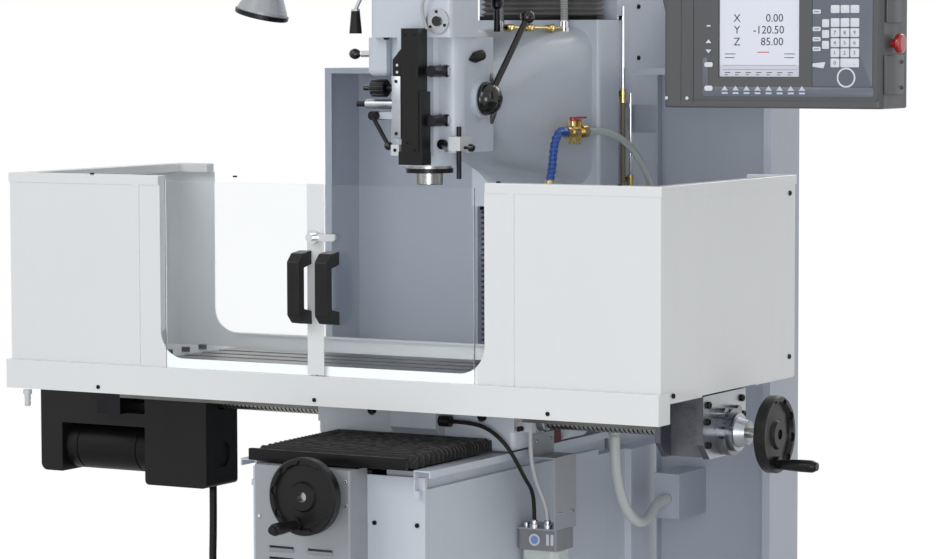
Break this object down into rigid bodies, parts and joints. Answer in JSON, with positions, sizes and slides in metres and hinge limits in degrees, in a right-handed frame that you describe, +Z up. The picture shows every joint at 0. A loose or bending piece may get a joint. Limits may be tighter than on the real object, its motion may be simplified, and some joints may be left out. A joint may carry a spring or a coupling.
{
  "type": "CNC milling machine",
  "caption": "Bed type CNC mill: cast base and column, table on cross slides, quill head on a ram slide, sheet guard with clear sliding doors, control pendant and lamp.",
  "frame": {"origin": "on the floor, straight under the spindle's axis", "axes": "+X to the operator's right along the table, +Y to the back towards the column, +Z up"},
  "size_m": [2.002, 1.632, 2.316],
  "materials": {
    "casting_paint": "smooth satin light blue-grey enamel",
    "cabinet_paint": "satin light blue-grey powder coat",
    "pan_paint": "satin blue-grey powder coat on folded sheet",
    "guard_paint": "semi-gloss white powder coat on folded sheet",
    "box_paint": "satin grey powder coat on folded sheet",
    "black_plastic": "fine grained black moulding",
    "pendant_plastic": "fine textured dark grey powder coat",
    "way_cloth": "matt coated black cloth",
    "ground_steel": "ground and scraped, oiled",
    "dark_steel": "black oxide",
    "bright_steel": "polished",
    "motor_black": "satin black enamel",
    "motor_paint": "satin blue-grey enamel",
    "clear_plastic": "clear polycarbonate sheet",
    "brass": "turned, dull",
    "red_grip": "glossy red coating",
    "blue_plastic": "glossy blue moulding",
    "pump_body": "milky moulding",
    "cable_black": "matt black jacket",
    "conduit_grey": "pale grey conduit",
    "hose_grey": "grey reinforced hose",
    "hose_clear": "milky clear hose",
    "lamp_paint": "satin black enamel"
  },
  "bodies": {
    "base": {"base_casting": "casting_paint", "y_drive_box": "box_paint", "column": "casting_paint", "z_motor": "motor_black", "left_splash_pan": "pan_paint", "right_splash_pan": "pan_paint", "electrical_cabinet": "cabinet_paint", "oil_lines": "bright_steel", "y_bellows": "way_cloth", "z_bellows": "way_cloth"},
    "saddle_body": {"saddle": "casting_paint", "lubricator_bracket": "box_paint", "oil_pump": "pump_body", "saddle_cable": "cable_black", "oil_conduit": "conduit_grey", "drain_hose": "hose_grey"},
    "table_body": {"table": "ground_steel", "end_brackets": "dark_steel", "x_drive_housing": "black_plastic", "x_motor": "motor_black", "guard_apron": "guard_paint", "door_frame": "guard_paint", "left_guard_panel": "guard_paint", "right_guard_panel": "guard_paint", "guard_back_wall": "guard_paint", "x_motor_cable": "cable_black"},
    "x_screw_body": {"x_screw": "ground_steel", "x_handwheel": "black_plastic"},
    "x_grip_body": {"x_grip": "black_plastic"},
    "y_screw_body": {"y_screw": "ground_steel", "y_handwheel": "black_plastic"},
    "y_grip_body": {"y_grip": "black_plastic"},
    "z_screw_body": {"z_screw": "ground_steel"},
    "left_door_body": {"left_door": "clear_plastic", "door_stile": "guard_paint", "left_handle": "black_plastic"},
    "latch_body": {"door_latch": "bright_steel"},
    "right_door_body": {"right_door": "clear_plastic", "right_handle": "black_plastic"},
    "ram_body": {"ram": "casting_paint", "coolant_valve": "brass", "coolant_spout": "blue_plastic", "coolant_hose": "hose_clear"},
    "coolant_lever_body": {"coolant_lever": "red_grip"},
    "head_body": {"head_casting": "casting_paint", "belt_housing": "casting_paint", "spindle_motor": "motor_paint", "scale_cover": "black_plastic"},
    "quill_body": {"quill": "ground_steel"},
    "spindle_body": {"spindle": "ground_steel"},
    "feed_lever_body": {"feed_lever": "black_plastic"},
    "quill_lock_body": {"quill_lock": "bright_steel"},
    "range_lever_body": {"range_lever": "black_plastic"},
    "trip_lever_body": {"trip_lever": "bright_steel"},
    "feed_knob_body": {"feed_knob": "black_plastic"},
    "pendant_arm_body": {"pendant_arm": "casting_paint"},
    "pendant_body": {"control_pendant": "pendant_plastic"},
    "stop_button_body": {"stop_button": "red_grip"},
    "lamp_arm_body": {"lamp_arm": "lamp_paint"},
    "lamp_head_body": {"lamp_head": "lamp_paint"}
  },
  "joints": [
    {"name": "saddle_slide", "type": "slide", "parent": "base", "child": "saddle_body", "axis": [0, 1, 0], "range_m": [-0.27, 0.09], "deforming": ["y_bellows", "drain_hose"]},
    {"name": "table_slide", "type": "slide", "parent": "saddle_body", "child": "table_body", "axis": [1, 0, 0], "range_m": [-0.285, 0.298], "deforming": ["x_motor_cable"]},
    {"name": "x_screw_turn", "type": "hinge", "parent": "table_body", "child": "x_screw_body", "pos_m": [0.6, 0.04, 0.81], "axis": [1, 0, 0], "continuous": true},
    {"name": "x_grip_turn", "type": "hinge", "parent": "x_screw_body", "child": "x_grip_body", "pos_m": [0.79, 0.04, 0.752], "axis": [1, 0, 0], "continuous": true},
    {"name": "y_screw_turn", "type": "hinge", "parent": "base", "child": "y_screw_body", "pos_m": [0, -0.43, 0.703], "axis": [0, -1, 0], "continuous": true},
    {"name": "y_grip_turn", "type": "hinge", "parent": "y_screw_body", "child": "y_grip_body", "pos_m": [-0.01792, -0.52, 0.64784], "axis": [0, -1, 0], "continuous": true},
    {"name": "left_door_slide", "type": "slide", "parent": "table_body", "child": "left_door_body", "axis": [1, 0, 0], "range_m": [-0.34, 0]},
    {"name": "latch_turn", "type": "hinge", "parent": "left_door_body", "child": "latch_body", "pos_m": [-0.098, -0.29, 1.185], "axis": [0, 1, 0], "range_deg": [-90, 0]},
    {"name": "right_door_slide", "type": "slide", "parent": "table_body", "child": "right_door_body", "axis": [1, 0, 0], "range_m": [0, 0.34]},
    {"name": "ram_slide", "type": "slide", "parent": "base", "child": "ram_body", "axis": [0, 0, 1], "range_m": [-0.298, 0.286], "deforming": ["z_bellows", "coolant_hose"]},
    {"name": "z_screw_turn", "type": "hinge", "parent": "base", "child": "z_screw_body", "pos_m": [0, 0.58, 1.5], "axis": [0, 0, 1], "continuous": true},
    {"name": "coolant_lever_turn", "type": "hinge", "parent": "ram_body", "child": "coolant_lever_body", "pos_m": [0.165, 0.309, 1.404], "axis": [0, 0, 1], "range_deg": [-90, 0]},
    {"name": "head_tilt", "type": "hinge", "parent": "ram_body", "child": "head_body", "pos_m": [0, 0.1, 1.452], "axis": [0, 1, 0], "range_deg": [-45, 45]},
    {"name": "quill_feed", "type": "slide", "parent": "head_body", "child": "quill_body", "axis": [0, 0, -1], "range_m": [0, 0.127]},
    {"name": "spindle_turn", "type": "hinge", "parent": "quill_body", "child": "spindle_body", "pos_m": [0, 0, 1.4], "axis": [0, 0, 1], "continuous": true},
    {"name": "feed_lever_turn", "type": "hinge", "parent": "head_body", "child": "feed_lever_body", "pos_m": [0.1, 0.045, 1.452], "axis": [1, 0, 0], "range_deg": [-1, 482]},
    {"name": "quill_lock_turn", "type": "hinge", "parent": "head_body", "child": "quill_lock_body", "pos_m": [0.057, -0.04, 1.362], "axis": [0, 1, 0], "range_deg": [-30, 60]},
    {"name": "range_lever_turn", "type": "hinge", "parent": "head_body", "child": "range_lever_body", "pos_m": [-0.11, -0.04, 1.695], "axis": [1, 0, 0], "range_deg": [-35, 35]},
    {"name": "trip_lever_turn", "type": "hinge", "parent": "head_body", "child": "trip_lever_body", "pos_m": [-0.098, -0.058, 1.418], "axis": [0, 1, 0], "range_deg": [-20, 20]},
    {"name": "feed_knob_turn", "type": "hinge", "parent": "head_body", "child": "feed_knob_body", "pos_m": [-0.09, -0.032, 1.473], "axis": [1, 0, 0], "continuous": true},
    {"name": "pendant_arm_turn", "type": "hinge", "parent": "base", "child": "pendant_arm_body", "pos_m": [0.205, 0.66, 1.9], "axis": [0, 0, 1], "range_deg": [-12, 55]},
    {"name": "pendant_turn", "type": "hinge", "parent": "pendant_arm_body", "child": "pendant_body", "pos_m": [0.79, -0.03, 1.82], "axis": [0, 0, 1], "range_deg": [-60, 60]},
    {"name": "stop_button_press", "type": "slide", "parent": "pendant_body", "child": "stop_button_body", "axis": [-1, 0, 0], "range_m": [0, 0.006], "stiffness_N_per_m": 900, "springref_m": -0.002},
    {"name": "lamp_arm_turn", "type": "hinge", "parent": "base", "child": "lamp_arm_body", "pos_m": [-0.19, 0.66, 1.88], "axis": [0, 0, 1], "range_deg": [-30, 30]},
    {"name": "lamp_tilt", "type": "hinge", "parent": "lamp_arm_body", "child": "lamp_head_body", "pos_m": [-0.562, 0.27, 1.772], "axis": [1, 0, 0], "range_deg": [-30, 30]}
  ],
  "couplings": [
    {"joint": "x_screw_turn", "follows": "table_slide", "rad_per_m": 1256.6},
    {"joint": "y_screw_turn", "follows": "saddle_slide", "rad_per_m": 1256.6},
    {"joint": "z_screw_turn", "follows": "ram_slide", "rad_per_m": 1256.6},
    {"joint": "feed_lever_turn", "follows": "quill_feed", "rad_per_m": 66}
  ]
}
